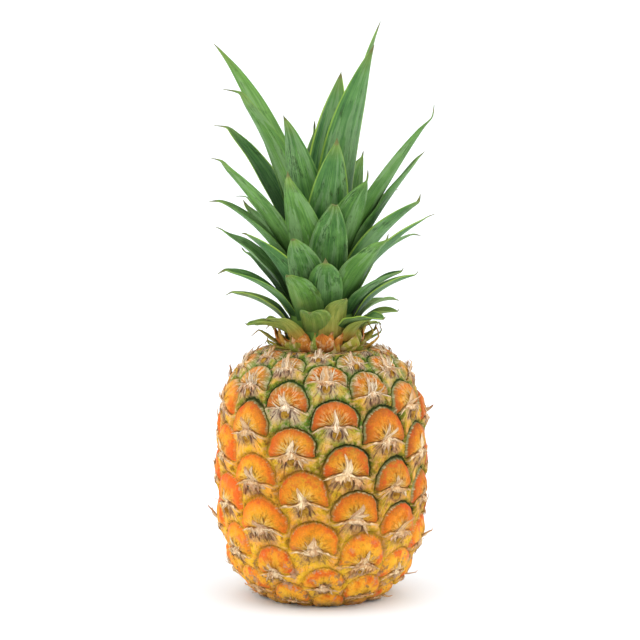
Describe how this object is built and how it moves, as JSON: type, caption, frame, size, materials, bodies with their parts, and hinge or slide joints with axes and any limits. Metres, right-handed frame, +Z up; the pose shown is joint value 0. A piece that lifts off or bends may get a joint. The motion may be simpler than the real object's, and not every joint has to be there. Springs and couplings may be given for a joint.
{
  "type": "pineapple",
  "caption": "Whole ripe pineapple standing on its base: barrel-shaped fruit with raised eyes and dry bract tips, and a spiky leafy crown.",
  "frame": {"origin": "middle of the cut stalk's face, on the surface that the fruit stands on", "axes": "+Z up from the base to the crown's tips, the front faces -Y, +X to the right of someone who looks at the front"},
  "size_m": [0.1205, 0.1163, 0.3032],
  "materials": {
    "rind": "waxy orange-yellow rind with green grooves and dry tan bract tips",
    "stalk": "dry fibrous cut",
    "dry_bract": "dry papery bract, orange-brown",
    "leaf": "tough green leaf with a pale bloom"
  },
  "bodies": {
    "root": {"fruit": "rind", "cut_stalk": "stalk", "neck_bracts": "dry_bract", "crown_leaves": "leaf"}
  },
  "joints": []
}
